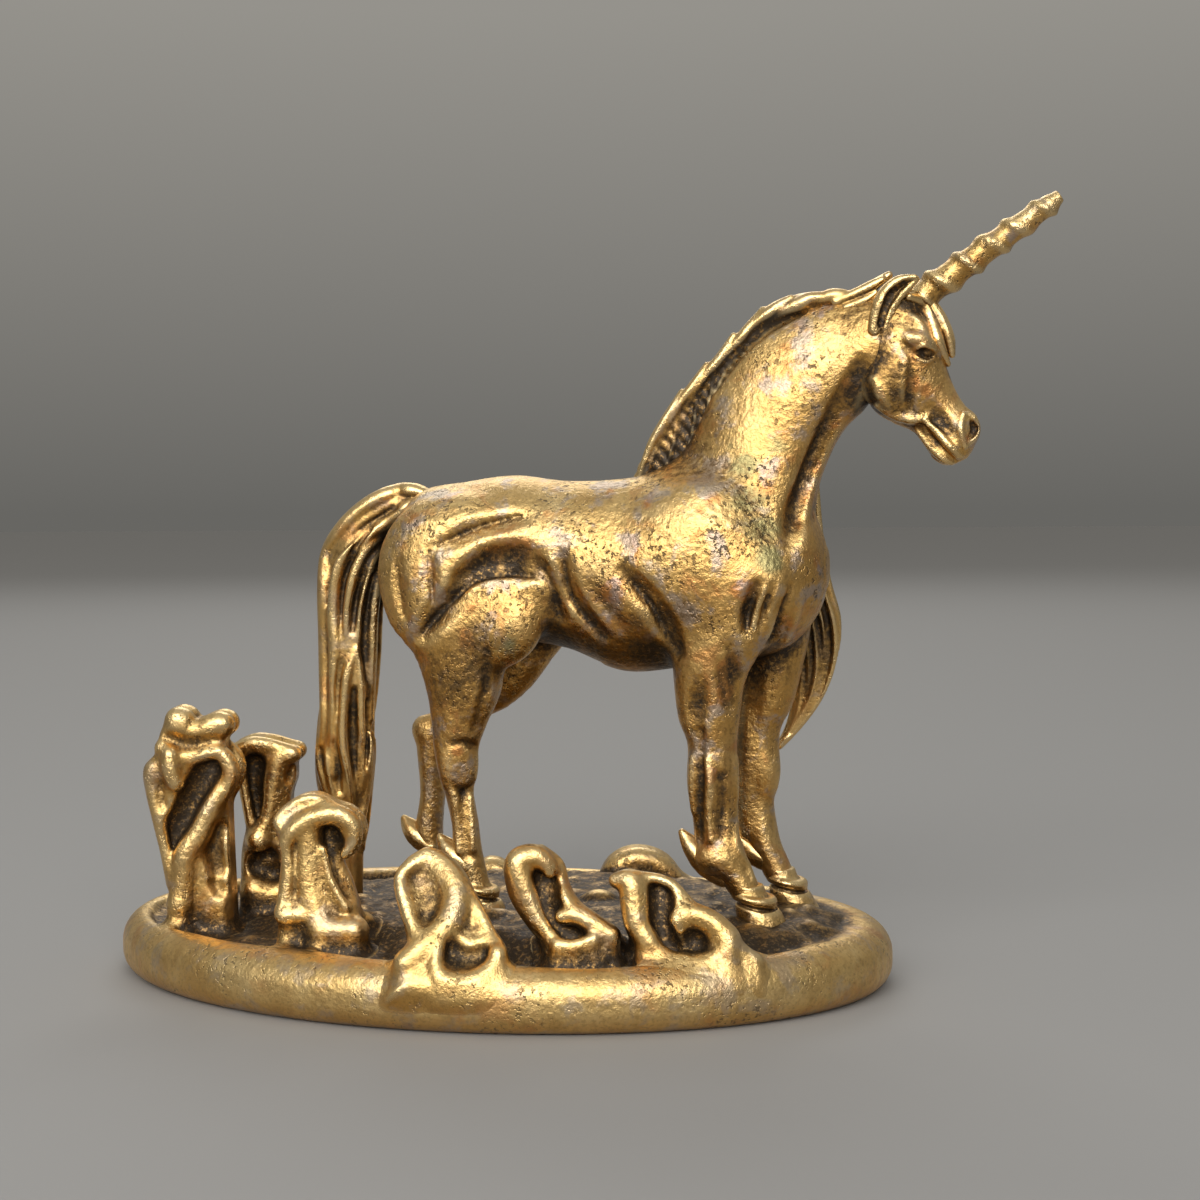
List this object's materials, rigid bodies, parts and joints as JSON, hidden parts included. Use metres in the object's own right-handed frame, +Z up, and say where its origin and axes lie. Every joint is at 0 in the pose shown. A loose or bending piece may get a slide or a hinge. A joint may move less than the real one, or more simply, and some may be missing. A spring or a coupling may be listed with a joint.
{
  "type": "unicorn figurine",
  "caption": "Small antiqued brass unicorn standing on an oval base with curling waves; a shelf or desk ornament that rests on its flat underside.",
  "frame": {"origin": "middle of the base's flat underside", "axes": "+X the way the unicorn faces, +Y to its left side, +Z up"},
  "size_m": [0.0638, 0.0358, 0.0509],
  "materials": {
    "figure_brass": "antiqued, satin highlights with dark recesses",
    "hair_brass": "antiqued, dark grooves",
    "base_brass": "antiqued, polished rim and wave crests"
  },
  "bodies": {
    "root": {"base_plate": "base_brass", "ear_left": "figure_brass", "ear_right": "figure_brass", "foreleg_left": "figure_brass", "foreleg_right": "figure_brass", "forelock": "hair_brass", "head": "figure_brass", "hindleg_left": "figure_brass", "hindleg_right": "figure_brass", "hoof_fore_left": "figure_brass", "hoof_fore_right": "figure_brass", "hoof_hind_left": "figure_brass", "hoof_hind_right": "figure_brass", "horn": "figure_brass", "mane_crest": "hair_brass", "mane_lock_1": "hair_brass", "mane_lock_2": "hair_brass", "mane_lock_3": "hair_brass", "mane_lock_4": "hair_brass", "neck": "figure_brass", "tail": "hair_brass", "torso": "figure_brass", "tuft_fore_left": "hair_brass", "tuft_fore_right": "hair_brass", "tuft_hind_left": "hair_brass", "tuft_hind_right": "hair_brass", "wave_belly": "base_brass", "wave_column": "base_brass", "wave_far_front": "base_brass", "wave_far_rear": "base_brass", "wave_front": "base_brass", "wave_rim": "base_brass", "wave_tail": "base_brass", "wave_tall": "base_brass"}
  },
  "joints": []
}
